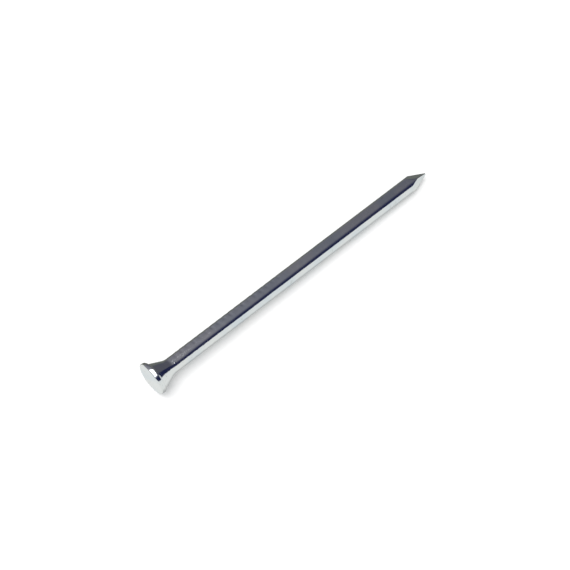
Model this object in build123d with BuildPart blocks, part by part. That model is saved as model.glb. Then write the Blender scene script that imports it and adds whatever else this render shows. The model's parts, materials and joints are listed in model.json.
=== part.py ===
from build123d import *
import os
from math import atan, cos, radians, sin, tan

# Countersunk wire nail, 3.5 x 75, in bright zinc plated steel. All sizes are in millimetres.
#
# The real nail is one length of drawn wire. A header upsets its rim and cone while two dies grip
# the shank, and two cutters pinch its point off the next one. Nothing is joined to it afterwards
# except the zinc, which electroplating lays over every face. So there are two bodies: the steel,
# and the closed skin of zinc around it.
#
# +X runs along the shank's axis from the drive face to the tip, +Z is up as the nail lies on its
# side, and the origin is where the axis meets the drive face.

# Overall
nail_length = 75.0           # drive face to tip, over the zinc
shank_diameter = 3.5         # over the zinc
head_diameter = 7.5          # across the rim, over the zinc
plating = 0.01               # thickness of the zinc

# The dies part in a plane through the axis, which leans this many degrees from upright as the
# nail lies, its top towards -Y.
parting_lean = 22.5

# Head: a short rim on a countersunk cone
rim_height = 1.0
rim_shift = 0.3              # the rim is struck this far off the axis, square to the parting
rim_front_edge = 0.25        # rounding where the hammer meets it
rim_back_edge = 0.1          # rounding above the lip
ledge = 0.05                 # flat left under the rim at its narrow side, between edge and cone
cone_half_angle = 23.5       # degrees from the axis
neck_radius = 3.0            # hollow blend from the cone into the shank

# Point: four flats that meet in a diamond, wider along the parting than across it
ridge_angle_across = 22.5    # degrees from the axis to the two ridges square to the parting
ridge_angle_along = 29.0     # degrees from the axis to the two ridges in the parting
tip_width = 0.36             # across the blunt end, square to the parting
tip_shift = 0.15             # how far the blunt end is off the axis, the other way from the rim
flat_run_in = 0.02           # the flats start this far outside the wire


def section(x):
    """The plane across the nail at x. Its own X is square to the dies' parting."""
    lean = radians(parting_lean)
    return Plane(origin=(x, 0, 0), x_dir=(0, cos(lean), sin(lean)), z_dir=(1, 0, 0))


def cutters(inset):
    """What the cutters take off the end of the wire, with the point's flats drawn in by inset."""
    # The flats are set out by their ridges, and run back until they clear the shank.
    slope_across = tan(radians(ridge_angle_across))
    slope_along = tan(radians(ridge_angle_along))
    flat_turn = atan(slope_along / slope_across)
    flat_slope = atan(slope_across * sin(flat_turn))
    ridge_inset = inset / (cos(flat_slope) * sin(flat_turn))
    base_reach = (shank_diameter / 2 + tip_shift + flat_run_in) / sin(flat_turn)
    point_length = (base_reach - tip_width / 2) / slope_across

    with BuildPart() as diamond:
        for x, reach, shift in (
            (nail_length - point_length, base_reach, tip_shift),
            (nail_length, tip_width / 2, -tip_shift),
        ):
            ridge_across = reach - ridge_inset
            ridge_along = ridge_across * slope_along / slope_across
            with BuildSketch(section(x)):
                with Locations((shift, 0)):
                    Polygon(
                        (ridge_across, 0), (0, ridge_along), (-ridge_across, 0), (0, -ridge_along)
                    )
        loft(ruled=True)

    with BuildPart() as waste:
        with BuildSketch(section(nail_length - point_length)):
            Circle(shank_diameter)
        extrude(amount=point_length)
        add(diamond.part, mode=Mode.SUBTRACT)
    return waste.part


def nail_form(inset):
    """The nail's solid form, with every face drawn in by inset."""
    shank_radius = shank_diameter / 2 - inset
    rim_radius = head_diameter / 2 - inset
    cone_start = rim_height - inset
    cone_radius = rim_radius - rim_shift - (rim_back_edge - inset) - ledge
    cone_radius = cone_radius - inset * tan(radians(45 - cone_half_angle / 2))
    cone_end = cone_start + (cone_radius - shank_radius) / tan(radians(cone_half_angle))

    with BuildPart() as form:
        with BuildSketch(section(inset)):
            with Locations((rim_shift, 0)):
                Circle(rim_radius)
        extrude(amount=cone_start - inset)
        fillet(form.edges().filter_by(GeomType.CIRCLE).sort_by(Axis.X)[-1], rim_back_edge - inset)
        fillet(form.edges().filter_by(GeomType.CIRCLE).sort_by(Axis.X)[0], rim_front_edge - inset)

        # Cone, neck and shank, turned about the wire's own axis
        with BuildSketch(Plane.XZ):
            with BuildLine():
                FilletPolyline(
                    (cone_start, cone_radius),
                    (cone_end, shank_radius),
                    (nail_length - inset, shank_radius),
                    radius=neck_radius + inset,
                )
                Polyline(
                    (nail_length - inset, shank_radius),
                    (nail_length - inset, 0),
                    (cone_start, 0),
                    (cone_start, cone_radius),
                )
            make_face()
        revolve(axis=Axis.X)
        add(cutters(inset), mode=Mode.SUBTRACT)
    return form.part


with BuildPart() as steel_core:
    add(nail_form(plating))
steel_core.part.label = "steel_core"

with BuildPart() as zinc_plating:
    add(nail_form(0))
    add(steel_core.part, mode=Mode.SUBTRACT)
zinc_plating.part.label = "zinc_plating"

os.makedirs("parts", exist_ok=True)
export_step(steel_core.part, "parts/steel_core.step")
export_step(zinc_plating.part, "parts/zinc_plating.step")
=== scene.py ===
# %% [markdown]
# # A countersunk wire nail in bright zinc
#
# A wire nail is one length of drawn steel: a header strikes its rim and cone while two dies grip the
# shank, two cutters pinch its point, and a tumbling bath lays bright zinc over all of it. The packed
# CAD part is loaded first, because its box and its record give the nail's main sizes.

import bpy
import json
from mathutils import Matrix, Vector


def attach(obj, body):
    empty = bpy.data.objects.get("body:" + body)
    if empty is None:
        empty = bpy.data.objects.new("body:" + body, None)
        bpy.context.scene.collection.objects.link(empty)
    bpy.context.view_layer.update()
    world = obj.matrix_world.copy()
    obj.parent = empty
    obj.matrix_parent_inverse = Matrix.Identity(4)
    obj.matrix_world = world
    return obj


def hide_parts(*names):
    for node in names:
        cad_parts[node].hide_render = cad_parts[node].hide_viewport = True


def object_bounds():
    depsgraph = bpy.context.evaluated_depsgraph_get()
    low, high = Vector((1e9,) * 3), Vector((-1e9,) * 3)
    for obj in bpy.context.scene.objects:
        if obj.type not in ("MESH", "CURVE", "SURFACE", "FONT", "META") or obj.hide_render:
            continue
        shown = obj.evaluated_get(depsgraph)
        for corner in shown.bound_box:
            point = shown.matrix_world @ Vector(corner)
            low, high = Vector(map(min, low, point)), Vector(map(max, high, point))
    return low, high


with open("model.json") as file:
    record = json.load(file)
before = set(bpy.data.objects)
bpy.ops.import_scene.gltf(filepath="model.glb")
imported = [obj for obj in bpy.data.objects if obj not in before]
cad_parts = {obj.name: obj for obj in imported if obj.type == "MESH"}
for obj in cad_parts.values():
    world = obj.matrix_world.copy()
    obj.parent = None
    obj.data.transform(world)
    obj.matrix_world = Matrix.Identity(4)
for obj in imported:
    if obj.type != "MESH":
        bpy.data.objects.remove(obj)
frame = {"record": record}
cad_low, cad_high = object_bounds()
print("CAD box in mm", [round((high - low) * 1000, 2) for low, high in zip(cad_low, cad_high)])

# %% [markdown]
# ## Sizes
#
# The rule below works in millimetres, the unit that a nail is sold in, and turns them to metres at
# the end. The length, the head's width and its sideways strike are read off the part's own box, and
# the shank's radius off the record, so these can't drift from the CAD. The smaller sizes of the
# head, the point and the plating can't be read off a box, so they repeat the numbers that the CAD
# was drawn with. The rim of a real nail is struck a little off the wire's axis: the box's middle
# says how far, and in which direction.

# %% Sizes of the nail
import json
from math import atan2, cos, degrees, hypot, pi, radians, sin, tan

import bmesh
import bpy
from mathutils import Vector

mm = 0.001
mounts = {mount["name"]: mount for mount in frame["record"]["mounts"]}
box_middle = (cad_low + cad_high) / 2

nail_length = (cad_high.x - cad_low.x) / mm
shank_radius = mounts["shank"]["dims"]["r_mm"]
rim_radius = (cad_high.y - cad_low.y) / 2 / mm
rim_shift = hypot(box_middle.y, box_middle.z) / mm
parting_lean = atan2(box_middle.z, box_middle.y)
print("length", round(nail_length, 2), "shank", shank_radius, "rim", round(rim_radius, 3))
print("rim shift", round(rim_shift, 3), "parting lean", round(degrees(parting_lean), 2))

# %% [markdown]
# ## Sums that build nodes
#
# Both the nail's form and its finishes are long sums. Wiring them by hand hides the thought, so one
# small class wraps a node's socket and gives it Python's arithmetic: `1 - mask` adds the Subtract
# node. A second class wraps a tree, with the one method that adds every other node.

# %% A socket that does arithmetic
class Reading:
    """A number or vector at a node's socket."""

    def __init__(self, board, socket):
        self.board = board
        self.socket = socket

    def maths(self, operation, *others):
        values = dict(enumerate((self,) + others))
        return self.board.node("ShaderNodeMath", {"operation": operation}, values)

    def __add__(self, other):
        return self.maths("ADD", other)

    def __radd__(self, other):
        return self.maths("ADD", other)

    def __sub__(self, other):
        return self.maths("SUBTRACT", other)

    def __rsub__(self, other):
        return self.board.node("ShaderNodeMath", {"operation": "SUBTRACT"}, {0: other, 1: self})

    def __mul__(self, other):
        return self.maths("MULTIPLY", other)

    def __rmul__(self, other):
        return self.maths("MULTIPLY", other)

    def __truediv__(self, other):
        return self.maths("DIVIDE", other)

    def __neg__(self):
        return self.maths("MULTIPLY", -1.0)

    def __abs__(self):
        return self.maths("ABSOLUTE")

    def lower_of(self, other):
        return self.maths("MINIMUM", other)

    def higher_of(self, other):
        return self.maths("MAXIMUM", other)

    def root(self):
        return self.maths("SQRT")

    def ease(self, start, end):
        """0 before start, 1 after end, and a smooth turn between them."""
        return self.board.node(
            "ShaderNodeMapRange",
            {"interpolation_type": "SMOOTHSTEP"},
            {"Value": self, "From Min": start, "From Max": end},
        )

    def other(self, name):
        """Another output of the same node."""
        return Reading(self.board, self.socket.node.outputs[name])


# %% A node tree that takes nodes in one line
class Board:
    """A node tree, and the one way that this script adds nodes to it."""

    nodes_in_row = 24
    node_width = 200
    row_height = 320

    def __init__(self, tree):
        self.tree = tree

    def node(self, kind, settings=None, sockets=None):
        made = self.tree.nodes.new(kind)
        rows_down, steps_right = divmod(len(self.tree.nodes), self.nodes_in_row)
        made.location = (steps_right * self.node_width, -rows_down * self.row_height)
        for name, value in (settings or {}).items():
            if name == "places":
                self.set_places(made.index_switch_items, value)
            else:
                setattr(made, name, value)
        for key, value in (sockets or {}).items():
            plug = self.plug(made, key)
            if isinstance(value, Reading):
                self.tree.links.new(value.socket, plug)
            else:
                plug.default_value = value
        shown = [socket for socket in made.outputs if socket.enabled]
        return Reading(self, shown[0]) if shown else made

    @staticmethod
    def plug(made, key):
        """An input by its number, or the live one of that name."""
        if isinstance(key, int):
            return made.inputs[key]
        return next(socket for socket in made.inputs if socket.enabled and socket.name == key)

    @staticmethod
    def set_places(items, count):
        while len(items) < count:
            items.new()

    def vector(self, x, y, z):
        return self.node("ShaderNodeCombineXYZ", None, {0: x, 1: y, 2: z})

    def noise(self, vector, scale, detail=2.0, rough=0.5):
        """Soft random values about 0, from about -0.5 to 0.5."""
        made = self.node(
            "ShaderNodeTexNoise",
            {"noise_dimensions": "3D"},
            {"Vector": vector, "Scale": scale, "Detail": detail, "Roughness": rough},
        )
        return made - 0.5


# %% [markdown]
# ## The nail's form, as a Geometry Nodes rule
#
# A nail could be turned with Spin and cut with booleans, but its head is struck off centre, its
# flats meet the round wire in curved borders, and its skin is full of small marks. One rule says all
# of it: a grid is wrapped round the wire, and each of its points asks how far out the metal reaches
# there. The same rule makes the zinc and, drawn in by the plating's thickness, the steel inside it.
#
# The tree's inputs are the nail's sizes in millimetres, so another nail is another set of numbers.

# %% The rule's named sizes
form_tree = bpy.data.node_groups.new("nail_form", "GeometryNodeTree")
form_tree.interface.new_socket("Nail", in_out="OUTPUT", socket_type="NodeSocketGeometry")

cone_angle = radians(23.5)
ridge_angle_across = radians(22.5)
ridge_angle_along = radians(29.0)
form_sizes = {
    "Length": nail_length,
    "Shank radius": shank_radius,
    "Rim radius": rim_radius,
    "Rim height": 1.0,
    "Rim shift": rim_shift,
    "Rim front edge": 0.25,
    "Rim crown": 0.14,
    "Rim droop": 0.22,
    "Lip fall": 0.75,
    "Lip length": 0.42,
    "Cone radius": 3.3,
    "Cone slope": tan(cone_angle),
    "Neck radius": 3.0,
    "Neck turn": sin(cone_angle),
    "Parting lean": parting_lean,
    "Ridge slope across": tan(ridge_angle_across),
    "Ridge slope along": tan(ridge_angle_along),
    "Tip width": 0.36,
    "Tip shift": 0.15,
    "Tip edge": 0.12,
    "Grip pitch": 1.62,
    "Grip depth": 0.04,
    "Grip start": 7.0,
    "Grip end": 40.0,
    "Seam height": 0.07,
    "Ripple height": 0.09,
    "Peel height": 0.014,
    "Face relief": 0.05,
    "Fine step": 0.05,
    "Coarse step": 0.17,
    "Inset": 0.0,
    "Skin thickness": 0.0,
}
form_plugs = {}
for size_name, size in form_sizes.items():
    plug = form_tree.interface.new_socket(size_name, in_out="INPUT", socket_type="NodeSocketFloat")
    plug.default_value = size
    form_plugs[size_name] = plug.identifier
for plug_name, kind in (("Columns", "NodeSocketInt"), ("Finish", "NodeSocketMaterial")):
    plug = form_tree.interface.new_socket(plug_name, in_out="INPUT", socket_type=kind)
    form_plugs[plug_name] = plug.identifier
form = Board(form_tree)
group_in = form.node("NodeGroupInput")
print("the rule has", len(form_plugs), "inputs")


def size_of(name):
    return group_in.other(name)


# %% [markdown]
# The grid's rows follow a line that goes out over the drive face, along the nail and in over the
# tip. Its rows are close together at the head and the point, where the form turns, and wide apart on
# the plain shank. The line's two outer corners are filleted, which rounds the head's front edge and
# the blunt tip.

# %% The line that the rows follow
length = size_of("Length")
shank = size_of("Shank radius")
rim = size_of("Rim radius")
rim_height = size_of("Rim height")
lip_lead = 0.12
lip_start = rim_height - lip_lead

neck_radius = size_of("Neck radius")
neck_turn = size_of("Neck turn")
neck_tangent = neck_radius * neck_turn / (1 + (1 - neck_turn * neck_turn).root())
cone_run = (size_of("Cone radius") - shank) / size_of("Cone slope")
neck_end = rim_height + cone_run + neck_tangent

flat_run_in = 0.02
flats_reach = shank + size_of("Tip shift") + flat_run_in
point_margin = 1.2
point_start = length - flats_reach / size_of("Ridge slope across") * point_margin

corner_count = 6
corner_rows = 8
fine_past_neck = 1.0
fine_before_point = 0.5
line = form.node("GeometryNodeMeshLine", None, {"Count": corner_count})
line = form.node("GeometryNodeMeshToCurve", None, {"Mesh": line})
corner = form.node("GeometryNodeInputIndex")
corner_place = form.node(
    "GeometryNodeIndexSwitch",
    {"data_type": "VECTOR", "places": corner_count},
    {
        "Index": corner,
        "0": (0.0, 0.0, 0.0),
        "1": form.vector(0.0, rim, 0.0),
        "2": form.vector(neck_end + fine_past_neck, rim, 0.0),
        "3": form.vector(point_start - fine_before_point, rim, 0.0),
        "4": form.vector(length, rim, 0.0),
        "5": form.vector(length, 0.0, 0.0),
    },
)
line = form.node("GeometryNodeSetPosition", None, {"Geometry": line, "Position": corner_place})
corner_radius = form.node(
    "GeometryNodeIndexSwitch",
    {"data_type": "FLOAT", "places": corner_count},
    {
        "Index": corner,
        "0": 0.0,
        "1": size_of("Rim front edge"),
        "2": 0.0,
        "3": 0.0,
        "4": size_of("Tip edge"),
        "5": 0.0,
    },
)
line = form.node(
    "GeometryNodeFilletCurve",
    {"mode": "POLY"},
    {"Curve": line, "Count": corner_rows, "Radius": corner_radius, "Limit Radius": True},
)
print("nodes so far, with the line:", len(form_tree.nodes))

# %% Rows where the form needs them
place = form.node("GeometryNodeInputPosition")
next_place = form.node(
    "GeometryNodeFieldAtIndex",
    {"data_type": "FLOAT_VECTOR", "domain": "POINT"},
    {"Index": form.node("GeometryNodeInputIndex") + 1.0, "Value": place},
)
run = form.node("ShaderNodeVectorMath", {"operation": "DISTANCE"}, {0: place, 1: next_place})
run = Reading(form, run.socket.node.outputs["Value"])
run_x = form.node("ShaderNodeSeparateXYZ", None, {0: place})
corner_slack = 0.1
last_coarse = point_start - (fine_before_point + corner_slack)
on_shank = run_x.maths("GREATER_THAN", neck_end) * run_x.maths("LESS_THAN", last_coarse)
face_depth = 0.01
face_slack = 1.6
off_face = run_x.maths("GREATER_THAN", face_depth) * run_x.maths("LESS_THAN", length - face_depth)
step = size_of("Fine step") + on_shank * (size_of("Coarse step") - size_of("Fine step"))
step = step + (1 - off_face) * size_of("Fine step") * face_slack
cuts = (run / step).maths("FLOOR")
line = form.node("GeometryNodeSubdivideCurve", None, {"Curve": line, "Cuts": cuts})
rows = form.node("GeometryNodeAttributeDomainSize", {"component": "CURVE"}, {"Geometry": line})
grid_columns = size_of("Columns") + 1.0
grid = form.node(
    "GeometryNodeMeshGrid",
    None,
    {"Size X": 1.0, "Size Y": 1.0, "Vertices X": rows, "Vertices Y": grid_columns},
)
print("nodes so far, with the grid:", len(form_tree.nodes))

# %% [markdown]
# Each point of the grid reads its row's place on the line, and its column's angle. Angles are
# counted from the direction that the rim is struck in, which is square to the dies' parting, so the
# point's four ridges fall exactly on columns and stay crisp.

# %% Where each grid point stands
grid_index = form.node("GeometryNodeInputIndex")
rounding_guard = 0.0001
row = (grid_index / grid_columns + rounding_guard).maths("FLOOR")
column = grid_index - row * grid_columns
row_place = form.node(
    "GeometryNodeSampleIndex",
    {"data_type": "FLOAT_VECTOR", "domain": "POINT"},
    {"Geometry": line, "Value": form.node("GeometryNodeInputPosition"), "Index": row},
)
x = form.node("ShaderNodeSeparateXYZ", None, {0: row_place})
cap = x.other("Y") / rim
angle = column / size_of("Columns") * (2 * pi)
cos_angle = angle.maths("COSINE")
sin_angle = angle.maths("SINE")

# %% [markdown]
# The centre that the angles turn about slides from the struck rim's centre to the wire's axis, and
# then to the tip's. `reach` says how far a circle is from that centre, at this point's angle.

# %% Reach of a circle seen from the sliding centre
toward_neck = x.ease(rim_height, neck_end)
tip_slide_start = point_start + 0.5
toward_tip = x.ease(tip_slide_start, length)
centre = size_of("Rim shift") * (1 - toward_neck) - size_of("Tip shift") * toward_tip


def reach(radius, circle_centre):
    away = circle_centre - centre
    side = away * sin_angle
    return away * cos_angle + (radius * radius - side * side).root()


# %% [markdown]
# The head: the rim's flank is crowned, as metal is when it swells between a hammer and a die, and
# droops where it was struck widest. Then it rounds over and falls to the cone in a lip. The lip is
# wide where the rim stands out and vanishes on the other side. Under it a straight cone runs into
# the wire through a hollow neck. Smooth Maximum leaves the small hollow between lip and cone.

# %% The head's reach
crown_run = (1 - x / lip_start).higher_of(0.0)
rim_crown = size_of("Rim crown") * crown_run * crown_run
lip_run = (x - lip_start).higher_of(0.0) / size_of("Lip length")
rim_droop = size_of("Rim droop") * cos_angle.ease(0.3, 1.0) * x.ease(0.1, 1.1)
least_rim = 1.0
lip_fall = size_of("Lip fall") * lip_run * lip_run
rim_here = (rim - rim_crown - rim_droop - lip_fall).higher_of(least_rim)

from_neck_end = (neck_end - x).higher_of(0.0)
on_arc = from_neck_end.lower_of(neck_radius * neck_turn)
neck_lift = neck_radius - (neck_radius * neck_radius - on_arc * on_arc).root()
cone_here = shank + neck_lift + (from_neck_end - on_arc) * size_of("Cone slope")
cone_spare = 0.05
cone_here = cone_here.lower_of(size_of("Cone radius") + cone_spare)

lip_blend = 0.14
side_reach = form.node(
    "ShaderNodeMath",
    {"operation": "SMOOTH_MAX"},
    {0: reach(cone_here, 0.0), 1: reach(rim_here, size_of("Rim shift")), 2: lip_blend},
)
print("nodes so far, with the head:", len(form_tree.nodes))

# %% [markdown]
# The point: two cutters meet across the wire and leave four flats, which narrow to a blunt end a
# little to one side. Each pair of flats is set out by its ridges, and the nearest face wins. Smooth
# Minimum leaves the slightly worn ridges of a plated point.

# %% The point's reach
from_tip = length - x
tip_half = size_of("Tip width") / 2
width_here = tip_half + from_tip * size_of("Ridge slope across")
slope_share = size_of("Ridge slope across") / size_of("Ridge slope along")
full_width = flats_reach * (1 + slope_share * slope_share).root()
tip_slide = (width_here - tip_half) / (full_width - tip_half)
point_centre = size_of("Tip shift") * (tip_slide * 2 - 1)
least_lean = 0.02
ridge_wear = 0.03
shoulder_wear = 0.02


def flat_reach(way):
    """The reach of the two flats on one side of the parting: way is 1 or -1."""
    lean = (cos_angle * way + abs(sin_angle) * slope_share).higher_of(least_lean)
    return (width_here + (point_centre - centre) * way) / lean


flats = form.node(
    "ShaderNodeMath",
    {"operation": "SMOOTH_MIN"},
    {0: flat_reach(1.0), 1: flat_reach(-1.0), 2: ridge_wear},
)
nail_reach = form.node(
    "ShaderNodeMath", {"operation": "SMOOTH_MIN"}, {0: side_reach, 1: flats, 2: shoulder_wear}
)
print("nodes so far, with the point:", len(form_tree.nodes))

# %% [markdown]
# Small marks make a nail real. The dies' teeth leave faint dents at an even pitch on both flanks of
# the shank's first half. Metal squeezed between the dies stands as a fine seam on the cone, ending
# in a bead where the dies end. Upsetting leaves ripples on the cone, and drawing and tumbling leave
# a shallow orange peel everywhere. They are all a few hundredths of a millimetre high.

# %% Marks of the dies and the bath
lean_cos = cos(parting_lean)
lean_sin = sin(parting_lean)


def place_round(out):
    """The point at this angle, out from the sliding centre, in millimetres."""
    across = centre + out * cos_angle
    along = out * sin_angle
    return form.vector(
        x, across * lean_cos - along * lean_sin, across * lean_sin + along * lean_cos
    )


smooth_place = place_round(nail_reach * cap)
on_face = 1 - x.ease(0.0, 0.12)

grip_skew = 0.18
grip_fade_in = 1.0
grip_fade_out = 14.0
grip_phase = x / size_of("Grip pitch") + cos_angle * grip_skew
grip_random = form.noise(smooth_place, scale=0.55)
grip_tooth = (grip_phase * (2 * pi)).maths("SINE").ease(-0.2, 0.9)
grip_band = abs(cos_angle + grip_random * 0.5).ease(0.25, 0.85)
grip_zone = x.ease(size_of("Grip start") - grip_fade_in, size_of("Grip start")) * (
    1 - x.ease(size_of("Grip end") - grip_fade_out, size_of("Grip end"))
)
grip = grip_tooth * grip_band * grip_zone * (0.65 + grip_random * 1.6).higher_of(0.0)

seam_past_neck = 0.55
seam_end = neck_end + seam_past_neck
seam_width = (1 - abs(cos_angle * nail_reach).ease(0.0, 0.2)) * x.ease(1.3, 2.4)
seam = seam_width * (1 - x.ease(seam_end - 0.1, seam_end + 0.1)) * (
    0.5 + form.noise(smooth_place, scale=1.6)
)
bead = seam_width * x.ease(seam_end - 0.35, seam_end - 0.1) * (
    1 - x.ease(seam_end, seam_end + 0.22)
)

on_cone = x.ease(1.0, 1.6) * (1 - x.ease(neck_end - 1.2, neck_end + 0.6))
stretch_along = (0.45, 1.0, 1.0)
stretched_place = form.node(
    "ShaderNodeVectorMath", {"operation": "MULTIPLY"}, {0: smooth_place, 1: stretch_along}
)
ripple = form.noise(stretched_place, scale=0.85) * on_cone
peel = form.noise(smooth_place, scale=0.95, detail=1.0) * (0.35 + 0.65 * cap)
wander = form.noise(smooth_place, scale=0.16) * (1 - on_face)
wander_height = 0.03
bead_share = 0.3

relief = (
    size_of("Seam height") * (seam + bead * bead_share)
    + size_of("Ripple height") * ripple
    + size_of("Peel height") * peel
    + wander * wander_height
    - size_of("Grip depth") * grip
)
broad_dents = form.noise(smooth_place, scale=0.42)
small_dents = form.noise(smooth_place, scale=1.4) * 0.25
dents = (broad_dents + small_dents) * (1 - cap.ease(0.8, 0.97))
dish = 0.35 * (1 - cap.ease(0.1, 0.9))
face_dent = (dents + dish) * on_face * size_of("Face relief")

outer_place = place_round((nail_reach + relief * (1 - on_face)) * cap)
outer_place = form.node(
    "ShaderNodeVectorMath",
    {"operation": "ADD"},
    {0: outer_place, 1: form.vector(face_dent, 0.0, 0.0)},
)
outer_place = form.node(
    "ShaderNodeVectorMath", {"operation": "SCALE"}, {"Vector": outer_place, "Scale": mm}
)
print("nodes so far, with the marks:", len(form_tree.nodes))

# %% [markdown]
# The masks are kept on the mesh as attributes, so that the finish knows where a die gripped and
# where an edge is rubbed. They are stored while the grid still has its rows and columns, because the
# merge that closes the grid's long border and its two poles renumbers its points. The grid's faces
# look inwards once it is wrapped, so they are flipped.

# %% Masks, and the grid put in place
on_point = x.ease(point_start + 1.0, point_start + 2.0)
ridge = (1 - abs(sin_angle).lower_of(abs(cos_angle)).ease(0.0, 0.14)) * on_point
rim_edges = (1 - abs(cap - 0.975).ease(0.0, 0.035)) * (1 - x.ease(0.2, 0.45))
lip_edge = (1 - abs(x - lip_start - 0.1).ease(0.0, 0.18)) * cos_angle.ease(-0.6, 0.6)
tip_edge = x.ease(length - 0.3, length)
lip_rub = 0.6
edge = (ridge + rim_edges + lip_edge * lip_rub + tip_edge).lower_of(1.0)

nail = grid
for mask_name, mask in (("grip", grip), ("edge", edge)):
    nail = form.node(
        "GeometryNodeStoreNamedAttribute",
        {"data_type": "FLOAT", "domain": "POINT"},
        {"Geometry": nail, "Name": mask_name, "Value": mask},
    )
nail = form.node("GeometryNodeSetPosition", None, {"Geometry": nail, "Position": outer_place})
closing_distance = 1e-6
nail = form.node(
    "GeometryNodeMergeByDistance", {"mode": "ALL"}, {"Geometry": nail, "Distance": closing_distance}
)
nail = form.node("GeometryNodeFlipFaces", None, {"Mesh": nail})
print("nodes so far, with the masks:", len(form_tree.nodes))

# %% [markdown]
# The steel is the same form drawn in by the zinc's thickness. The zinc is a skin, so it gets an
# inner face as well, which looks inwards and meets the steel. Both copies are made along the
# finished surface's own normals.

# %% Draw in, and give the zinc its inner face
normal = form.node("GeometryNodeInputNormal")


def drawn_in(geometry, depth):
    shift = form.node(
        "ShaderNodeVectorMath", {"operation": "SCALE"}, {"Vector": normal, "Scale": depth * -mm}
    )
    return form.node("GeometryNodeSetPosition", None, {"Geometry": geometry, "Offset": shift})


nail = drawn_in(nail, size_of("Inset"))
inner_face = form.node(
    "GeometryNodeFlipFaces", None, {"Mesh": drawn_in(nail, size_of("Skin thickness"))}
)
skin = form.node("GeometryNodeJoinGeometry")
form.tree.links.new(inner_face.socket, skin.socket.node.inputs[0])
form.tree.links.new(nail.socket, skin.socket.node.inputs[0])
piece = form.node(
    "GeometryNodeSwitch",
    {"input_type": "GEOMETRY"},
    {
        "Switch": size_of("Skin thickness").maths("GREATER_THAN", 0.0),
        "False": nail,
        "True": skin,
    },
)
piece = form.node("GeometryNodeSetShadeSmooth", None, {"Geometry": piece, "Shade Smooth": True})
piece = form.node("GeometryNodeRealizeInstances", None, {"Geometry": piece})
piece = form.node(
    "GeometryNodeSetMaterial", None, {"Geometry": piece, "Material": size_of("Finish")}
)
form.node("NodeGroupOutput", None, {"Nail": piece})
print("the rule has", len(form_tree.nodes), "nodes")

# %% [markdown]
# ## Finishes
#
# Bright zinc is a mirror with a bluish cast, from the passivation bath that follows the plating. It
# is never even: it clouds where the bath ran slowly, drawing lines show through it, tumbling leaves
# fine scratches and pits, and edges rub to a paler, duller metal. All of it is a few nodes on the
# nail's own Object coordinates, in millimetres.

# %% A helper that starts a metal
def new_metal(name):
    """A metal, its board, its Principled shader, and the place on the nail in millimetres."""
    metal = bpy.data.materials.new(name)
    metal.use_nodes = True
    metal.node_tree.nodes.clear()
    board = Board(metal.node_tree)
    shader = board.node("ShaderNodeBsdfPrincipled", None, {"Metallic": 1.0})
    board.node("ShaderNodeOutputMaterial", None, {"Surface": shader})
    spot = board.node("ShaderNodeTexCoord").other("Object")
    spot = board.node("ShaderNodeVectorMath", {"operation": "SCALE"}, {"Vector": spot, "Scale": 1 / mm})
    return metal, board, shader.socket.node, spot


def stretched(board, spot, share):
    return board.node("ShaderNodeVectorMath", {"operation": "MULTIPLY"}, {0: spot, 1: share})


def mask_of(board, name):
    return board.node("ShaderNodeAttribute", {"attribute_name": name}).other("Fac")


def mix(board, share, first, second):
    return board.node(
        "ShaderNodeMix", {"data_type": "RGBA"}, {"Factor": share, "A": first, "B": second}
    )


def finish(board, shader, colour, roughness, height):
    """Sets what varies on a metal. The height is in millimetres."""
    bump = board.node("ShaderNodeBump", None, {"Strength": 1.0, "Distance": mm, "Height": height})
    for name, reading in (("Base Color", colour), ("Roughness", roughness), ("Normal", bump)):
        board.tree.links.new(reading.socket, shader.inputs[name])


# %% Bright zinc
zinc_blue = (0.70, 0.755, 0.80, 1.0)
zinc_pale = (0.80, 0.815, 0.82, 1.0)
zinc_stain = (0.52, 0.53, 0.50, 1.0)
zinc_rubbed = (0.86, 0.86, 0.84, 1.0)

bright_zinc, zinc, zinc_shader, zinc_spot = new_metal("bright_zinc")
line_spot = stretched(zinc, zinc_spot, (0.05, 4.2, 4.2))
cloud = zinc.noise(zinc_spot, scale=0.22, detail=3.0)
lines = zinc.noise(line_spot, scale=1.0, detail=3.0, rough=0.6)
grain = zinc.noise(zinc_spot, scale=3.4, detail=4.0, rough=0.6)
stain = zinc.noise(zinc_spot, scale=0.75, detail=4.0, rough=0.65) + lines * 0.25
stain = stain.ease(0.1, 0.26)
pits = zinc.node(
    "ShaderNodeTexVoronoi", {"feature": "F1"}, {"Vector": zinc_spot, "Scale": 1.3, "Randomness": 1.0}
)
pit = 1 - pits.ease(0.05, 0.14)
rubbed = mask_of(zinc, "edge")
gripped = mask_of(zinc, "grip")

zinc_colour = mix(zinc, (cloud * 2.2 + 0.5).ease(0.1, 0.9), zinc_blue, zinc_pale)
zinc_colour = mix(zinc, stain * 0.55 + pit * 0.5, zinc_colour, zinc_stain)
zinc_colour = mix(zinc, rubbed * 0.6, zinc_colour, zinc_rubbed)
zinc_polish = 0.11
zinc_brightest = 0.06
zinc_roughness = zinc_polish + cloud * 0.10 + stain * 0.07 + grain * 0.05
zinc_roughness = (zinc_roughness + rubbed * 0.08 + gripped * 0.07).higher_of(zinc_brightest)
grain_height = 0.0006
line_height = 0.0012
pit_depth = 0.003
zinc_height = grain * grain_height + lines * line_height - pit * pit_depth
finish(zinc, zinc_shader, zinc_colour, zinc_roughness, zinc_height)
print("bright_zinc has", len(bright_zinc.node_tree.nodes), "nodes")

# %% [markdown]
# The steel under the zinc is drawn wire: grey, satin, and scored along its length by the die it was
# pulled through. It shows only if the zinc is hidden, and it is finished all the same.

# %% Drawn steel
steel_clean = (0.46, 0.46, 0.45, 1.0)
steel_dark = (0.27, 0.27, 0.28, 1.0)
steel_worn = (0.58, 0.57, 0.55, 1.0)

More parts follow.
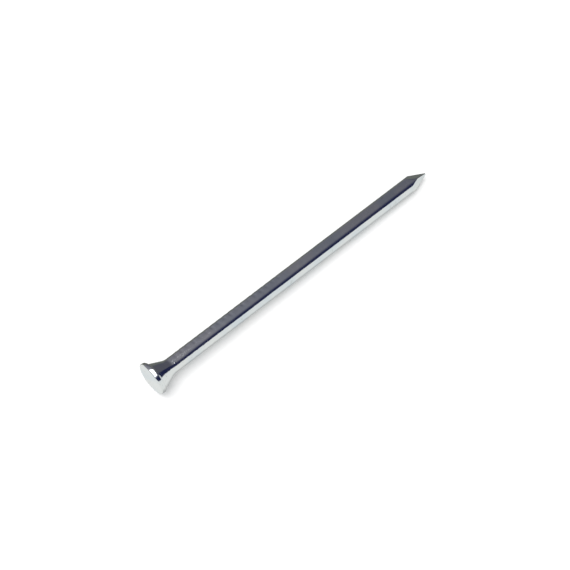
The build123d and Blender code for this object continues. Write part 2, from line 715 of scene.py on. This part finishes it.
drawn_steel, steel, steel_shader, steel_spot = new_metal("drawn_steel")
score_spot = stretched(steel, steel_spot, (0.03, 5.5, 5.5))
scores = steel.noise(score_spot, scale=1.0, detail=4.0, rough=0.65)
scale_patch = steel.noise(steel_spot, scale=0.6, detail=4.0).ease(0.02, 0.3)
steel_colour = mix(steel, (scores * 1.6 + 0.5).ease(0.1, 0.9), steel_dark, steel_clean)
steel_colour = mix(steel, scale_patch * 0.5, steel_colour, steel_dark)
steel_colour = mix(steel, mask_of(steel, "edge") * 0.7, steel_colour, steel_worn)
steel_satin = 0.34
score_depth = 0.006
steel_roughness = steel_satin + scores * 0.18 + scale_patch * 0.12
finish(steel, steel_shader, steel_colour, steel_roughness, scores * score_depth)
print("drawn_steel has", len(drawn_steel.node_tree.nodes), "nodes")

# %% [markdown]
# ## The two pieces
#
# Each piece is the rule's result with its own numbers. A holder object wears the modifier just long
# enough to be evaluated. Then the result is kept as a plain mesh and the modifier goes.

# %% Run the rule
def make_piece(name, material, inset, skin_thickness, columns):
    holder = bpy.data.objects.new(name, bpy.data.meshes.new(name))
    bpy.context.scene.collection.objects.link(holder)
    modifier = holder.modifiers.new("nail_form", "NODES")
    modifier.node_group = form_tree
    for size_name, size in form_sizes.items():
        modifier[form_plugs[size_name]] = size
    modifier[form_plugs["Inset"]] = inset
    modifier[form_plugs["Skin thickness"]] = skin_thickness
    modifier[form_plugs["Columns"]] = columns
    modifier[form_plugs["Finish"]] = material
    graph = bpy.context.evaluated_depsgraph_get()
    shape = bpy.data.meshes.new_from_object(
        holder.evaluated_get(graph), preserve_all_data_layers=True, depsgraph=graph
    )
    shape.name = name
    holder.modifiers.remove(modifier)
    holder.data = shape
    shape.calc_loop_triangles()
    measured = bmesh.new()
    measured.from_mesh(shape)
    open_edges = sum(1 for border in measured.edges if not border.is_manifold)
    print(name, "holds", round(measured.calc_volume(signed=True) / mm**3, 2), "mm3")
    print(name, "has", open_edges, "open edges")
    measured.free()
    print(name, len(shape.vertices), "vertices", len(shape.loop_triangles), "triangles")
    return holder


plating = 0.01
nail_columns = 72
zinc_skin = make_piece("zinc_skin", bright_zinc, 0.0, plating, nail_columns)
steel_wire = make_piece("steel_wire", drawn_steel, plating, 0.0, nail_columns)

# %% Tie the pieces to the CAD
for piece_object, node, slot in (
    (zinc_skin, "zinc_plating", "bright_zinc"),
    (steel_wire, "steel_core", "drawn_steel"),
):
    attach(piece_object, "root")
    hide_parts(node)

# %% [markdown]
# ## The table that it lies on
#
# The nail rests on two places: the rim's lowest point, and the shoulder where the point's flats
# begin. The head is larger than the shank, so the table is tipped by a degree and a half against the
# nail's own axis. It is a matt white sheet, and isn't part of the object. The metal doesn't see the
# sheet: a real table falls dark behind the nail, so the room's lower half is painted to stand for it.

# %% White table
rim_touch = 0.5
shoulder_from_tip = 3.7
rim_low = Vector((rim_touch * mm, 0.0, cad_low.z))
shoulder_low = Vector(((nail_length - shoulder_from_tip) * mm, 0.0, -shank_radius * mm))
table_run = (shoulder_low - rim_low).normalized()
table_half = 3.0
table_corners = [
    rim_low + table_run * along + Vector((0.0, across, 0.0))
    for along, across in (
        (-table_half, -table_half),
        (table_half, -table_half),
        (table_half, table_half),
        (-table_half, table_half),
    )
]
table_mesh = bpy.data.meshes.new("white_table")
table_mesh.from_pydata(table_corners, [], [(0, 1, 2, 3)])
table = bpy.data.objects.new("white_table", table_mesh)
bpy.context.scene.collection.objects.link(table)

table_white = bpy.data.materials.new("table_white")
table_white.use_nodes = True
table_white.node_tree.nodes.clear()
table_board = Board(table_white.node_tree)
table_shader = table_board.node(
    "ShaderNodeBsdfPrincipled",
    None,
    {"Base Color": (0.86, 0.86, 0.86, 1.0), "Roughness": 0.9, "Specular IOR Level": 0.1},
)
table_board.node("ShaderNodeOutputMaterial", None, {"Surface": table_shader})
table_mesh.materials.append(table_white)
table.visible_glossy = False
print("table tips by", round(degrees(atan2(table_run.z, table_run.x)), 2), "degrees")

# %% [markdown]
# ## Studio light
#
# A mirror shows the room, so the room is what gives a zinc nail its looks. A white card stands low
# on the near side, dark cloth hangs above it and behind, and a softbox overhead leans towards the
# head. The room is painted on the world as a few soft-edged areas by direction. Matt surfaces get an
# even light instead, which keeps the table white. The world isn't sampled as a lamp, because a
# lamp's light can't tell which surface asks for it, and the metal would get the even light too.

# %% The room as the metal sees it
world = bpy.data.worlds.new("studio")
bpy.context.scene.world = world
world.use_nodes = True
world.node_tree.nodes.clear()
world.cycles.sampling_method = "NONE"
room = Board(world.node_tree)
look = room.node("ShaderNodeTexCoord")
look_x = room.node("ShaderNodeSeparateXYZ", None, {0: look})
near = -look_x.other("Y")
up = look_x.other("Z")

card_top = radians(27.0)
above_card = up * cos(card_top) - near * sin(card_top)
card = (1 - above_card.ease(-0.015, 0.015)) * near.ease(-0.05, 0.05)
card = card.higher_of(near.ease(-0.37, -0.30) * (-up).ease(0.4, 0.6))
cloth_fold = (1 - above_card.ease(0.34, 0.80)) * near.ease(-0.05, 0.15)
cloth_lit = 1 - look_x.ease(0.10, 0.55)
table_before_head = (-look_x).ease(0.0, 0.12) * (-up).ease(0.0, 0.15)
# Painted shadow: straight-down directions turn grey to stand for the nail's own shadow on the table,
# which the metal can't see, so the shank's lower edge shows a painted reflection of that shadow.
painted_nail_shadow = (-up).ease(0.55, 1.0)

cloth_pale = (0.262, 0.258, 0.290, 1.0)
cloth_grey = (0.097, 0.097, 0.120, 1.0)
cloth_navy = (0.016, 0.020, 0.065, 1.0)
cloth_low = (0.165, 0.17, 0.155, 1.0)
card_white = (0.865, 0.880, 0.860, 1.0)
# The grey of the painted shadow under the nail.
painted_shadow_grey = (0.50, 0.51, 0.50, 1.0)
room_colour = mix(room, cloth_lit, cloth_grey, cloth_pale)
room_colour = mix(room, (-up).ease(-0.1, 0.2), room_colour, cloth_low)
room_colour = mix(room, cloth_fold, room_colour, cloth_navy)
card_colour = mix(room, painted_nail_shadow, card_white, painted_shadow_grey)
room_colour = mix(room, card, room_colour, card_colour)
room_colour = mix(room, table_before_head, room_colour, card_white)

light_path = room.node("ShaderNodeLightPath")
plain_white = (1.0, 1.0, 1.0, 1.0)
room_for_metal = room.node("ShaderNodeBackground", None, {"Color": room_colour, "Strength": 1.0})
even_light = room.node("ShaderNodeBackground", None, {"Color": plain_white, "Strength": 0.74})
white_wall = room.node("ShaderNodeBackground", None, {"Color": plain_white, "Strength": 1.0})
seen_room = room.node(
    "ShaderNodeMixShader",
    None,
    {0: light_path.other("Is Glossy Ray"), 1: even_light, 2: room_for_metal},
)
seen_room = room.node(
    "ShaderNodeMixShader", None, {0: light_path.other("Is Camera Ray"), 1: seen_room, 2: white_wall}
)
room.node("ShaderNodeOutputWorld", None, {"Surface": seen_room})
print("the room has", len(world.node_tree.nodes), "nodes")

# %% Softbox overhead
nail_middle = Vector((nail_length / 2 * mm, 0.0, 0.0))
softbox_way = Vector((-0.34, 0.03, 0.94)).normalized()
softbox_distance = 0.9
softbox_width = 0.99
softbox_length = 0.92
softbox_watts = 8.0

softbox_data = bpy.data.lights.new("softbox", "AREA")
softbox_data.shape = "RECTANGLE"
softbox_data.size = softbox_width
softbox_data.size_y = softbox_length
softbox_data.energy = softbox_watts
softbox = bpy.data.objects.new("softbox", softbox_data)
softbox.location = nail_middle + softbox_way * softbox_distance
softbox.rotation_euler = softbox_way.to_track_quat("Z", "Y").to_euler()
bpy.context.scene.collection.objects.link(softbox)
print("softbox", softbox_width, "by", softbox_length, "m, at", softbox_distance, "m")

# %% [markdown]
# ## Camera
#
# The nail is seen from the head's side and well above, through a long lens that keeps its sides
# almost parallel. The camera is aimed just beside the nail's middle, rather than shifted, so the
# nail stands a little off centre.

# %% Camera
camera_azimuth = radians(-41.05)
camera_elevation = radians(60.93)
camera_distance = 0.400
camera_lens = 122.1
aim_left = 0.001483
aim_down = 0.002284

camera_way = Vector(
    (
        sin(camera_azimuth) * cos(camera_elevation),
        -cos(camera_azimuth) * cos(camera_elevation),
        sin(camera_elevation),
    )
)
camera_right = Vector((cos(camera_azimuth), sin(camera_azimuth), 0.0))
camera_up = camera_way.cross(camera_right)
camera_aim = nail_middle - camera_right * aim_left - camera_up * aim_down

camera_data = bpy.data.cameras.new("camera")
camera_data.lens = camera_lens
camera_data.clip_start = 0.01
camera = bpy.data.objects.new("camera", camera_data)
camera.location = camera_aim + camera_way * camera_distance
camera.rotation_euler = camera_way.to_track_quat("Z", "Y").to_euler()
bpy.context.scene.collection.objects.link(camera)
bpy.context.scene.camera = camera
print("camera", round(camera_distance / mm), "mm away, with a", camera_lens, "mm lens")

# %% Plain colours, with no film look
bpy.context.scene.view_settings.view_transform = "Standard"
